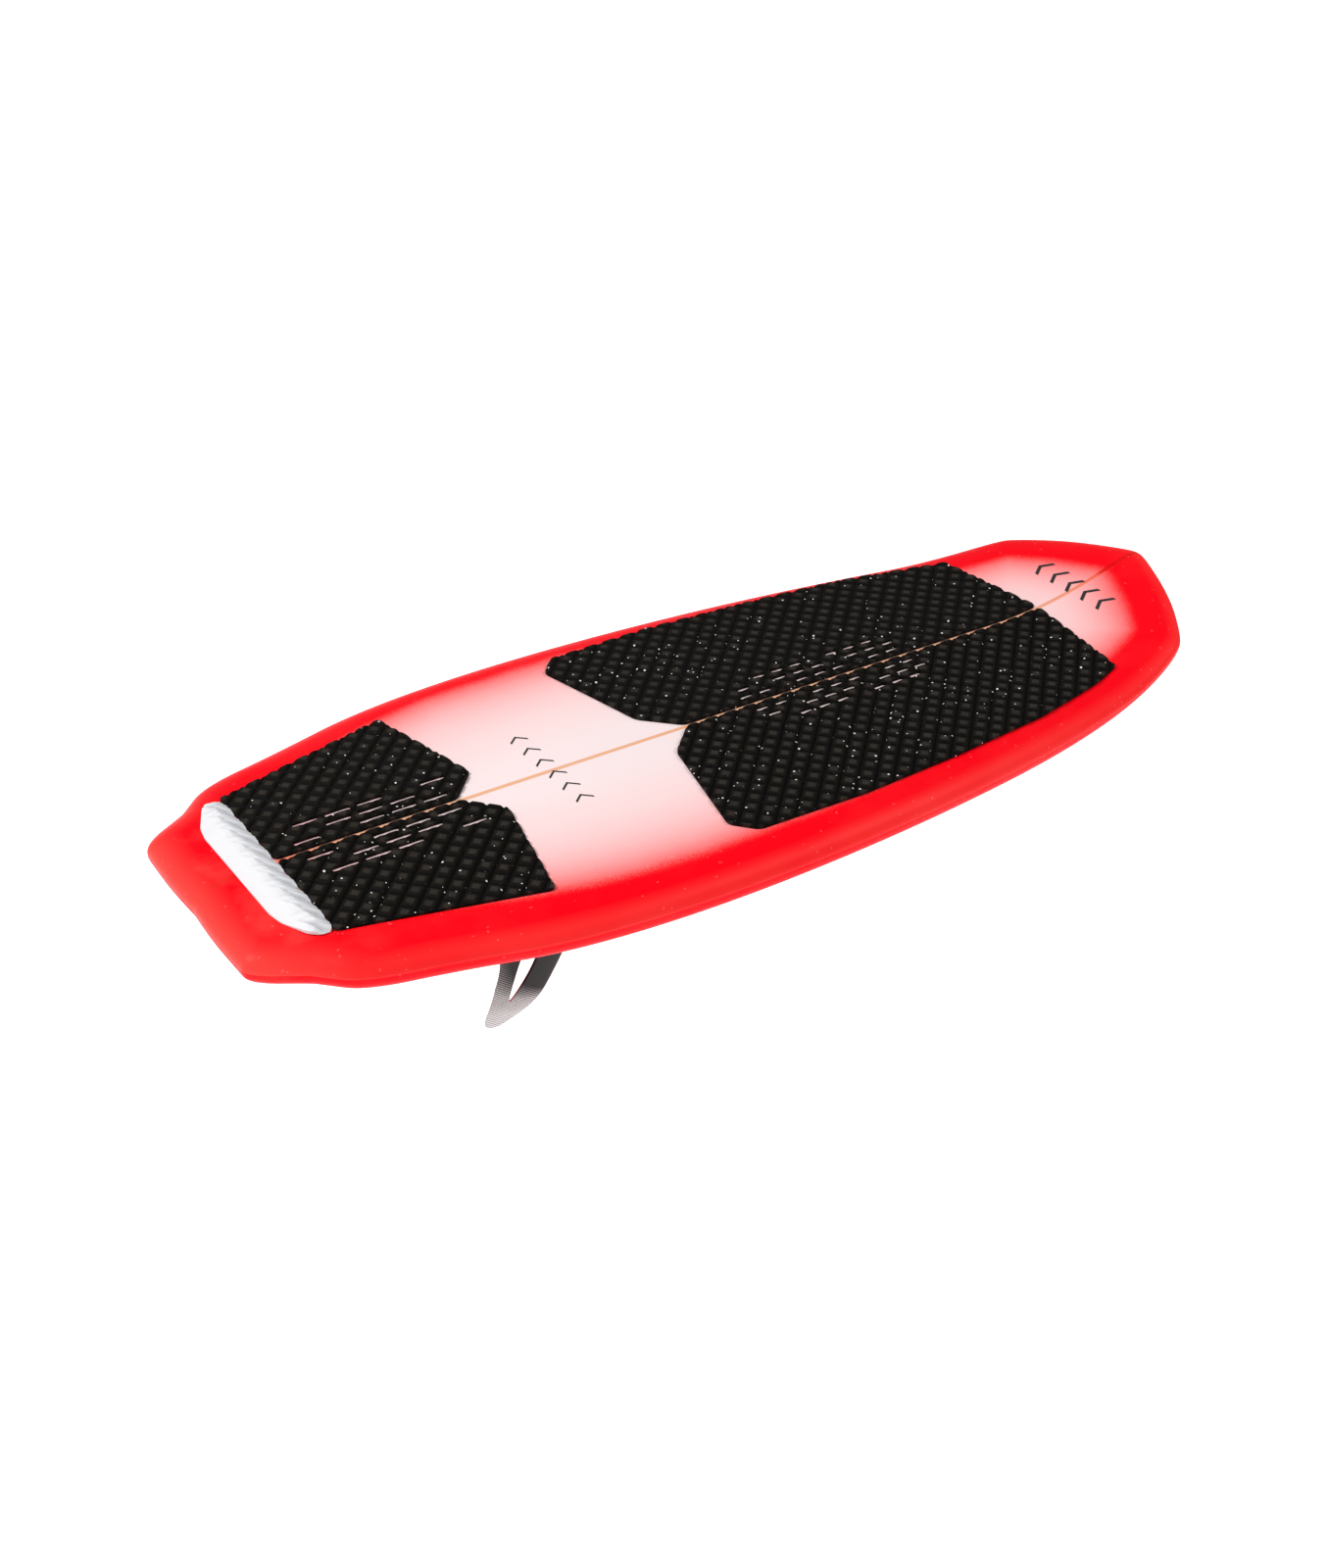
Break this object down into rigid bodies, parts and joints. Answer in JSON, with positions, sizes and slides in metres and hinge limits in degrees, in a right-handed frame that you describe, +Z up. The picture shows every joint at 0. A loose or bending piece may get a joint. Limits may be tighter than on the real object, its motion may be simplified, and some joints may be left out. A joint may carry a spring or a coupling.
{
  "type": "wakesurf board",
  "caption": "Short, wide wake surfing board: foam core, timber stringer, glass skins, grooved foot pads, a raised tail kick and side fins that slide out once their grub screws are slackened.",
  "frame": {"origin": "on the flat running bottom, on the centreline, halfway along the board", "axes": "+X towards the nose, +Y to port (the left of a rider facing the nose), +Z up through the deck"},
  "size_m": [1.4222, 0.5696, 0.2114],
  "materials": {
    "foam_core": "expanded polystyrene foam, matt",
    "timber": "thin plywood",
    "deck_skin": "glass laminate, sprayed red at the rail fading to white amidships, satin",
    "bottom_skin": "glass laminate, sprayed red, satin",
    "pad_foam": "closed-cell foam with diamond grooves and light flecks",
    "kick_foam": "white closed-cell foam",
    "box_plastic": "moulded",
    "fin_composite": "moulded composite, fine light slanted stripes that thicken towards the tip",
    "screw_steel": "stainless"
  },
  "bodies": {
    "board": {"core_left": "foam_core", "core_right": "foam_core", "stringer": "timber", "deck_skin": "deck_skin", "bottom_skin": "bottom_skin", "front_pad_left": "pad_foam", "front_pad_right": "pad_foam", "rear_pad_left": "pad_foam", "rear_pad_right": "pad_foam", "tail_kick": "kick_foam", "fin_box_left": "box_plastic", "fin_box_right": "box_plastic"},
    "fin_left": {"fin_left": "fin_composite"},
    "fin_right": {"fin_right": "fin_composite"},
    "screw_left_front": {"fin_screw_left_front": "screw_steel"},
    "screw_left_rear": {"fin_screw_left_rear": "screw_steel"},
    "screw_right_front": {"fin_screw_right_front": "screw_steel"},
    "screw_right_rear": {"fin_screw_right_rear": "screw_steel"}
  },
  "joints": [
    {"name": "fin_left_slide", "type": "slide", "parent": "board", "child": "fin_left", "axis": [0, 0, -1], "range_m": [0, 0.03]},
    {"name": "fin_right_slide", "type": "slide", "parent": "board", "child": "fin_right", "axis": [0, 0, -1], "range_m": [0, 0.03]},
    {"name": "screw_left_front_turn", "type": "hinge", "parent": "board", "child": "screw_left_front", "pos_m": [-0.36241, 0.18802, 0.00194], "axis": [0.0218, 0.4995, 0.866], "range_deg": [0, 360]},
    {"name": "screw_left_rear_turn", "type": "hinge", "parent": "board", "child": "screw_left_rear", "pos_m": [-0.41636, 0.19037, 0.00194], "axis": [0.0218, 0.4995, 0.866], "range_deg": [0, 360]},
    {"name": "screw_right_front_turn", "type": "hinge", "parent": "board", "child": "screw_right_front", "pos_m": [-0.36241, -0.18802, 0.00194], "axis": [0.0218, -0.4995, 0.866], "range_deg": [0, 360]},
    {"name": "screw_right_rear_turn", "type": "hinge", "parent": "board", "child": "screw_right_rear", "pos_m": [-0.41636, -0.19037, 0.00194], "axis": [0.0218, -0.4995, 0.866], "range_deg": [0, 360]}
  ]
}
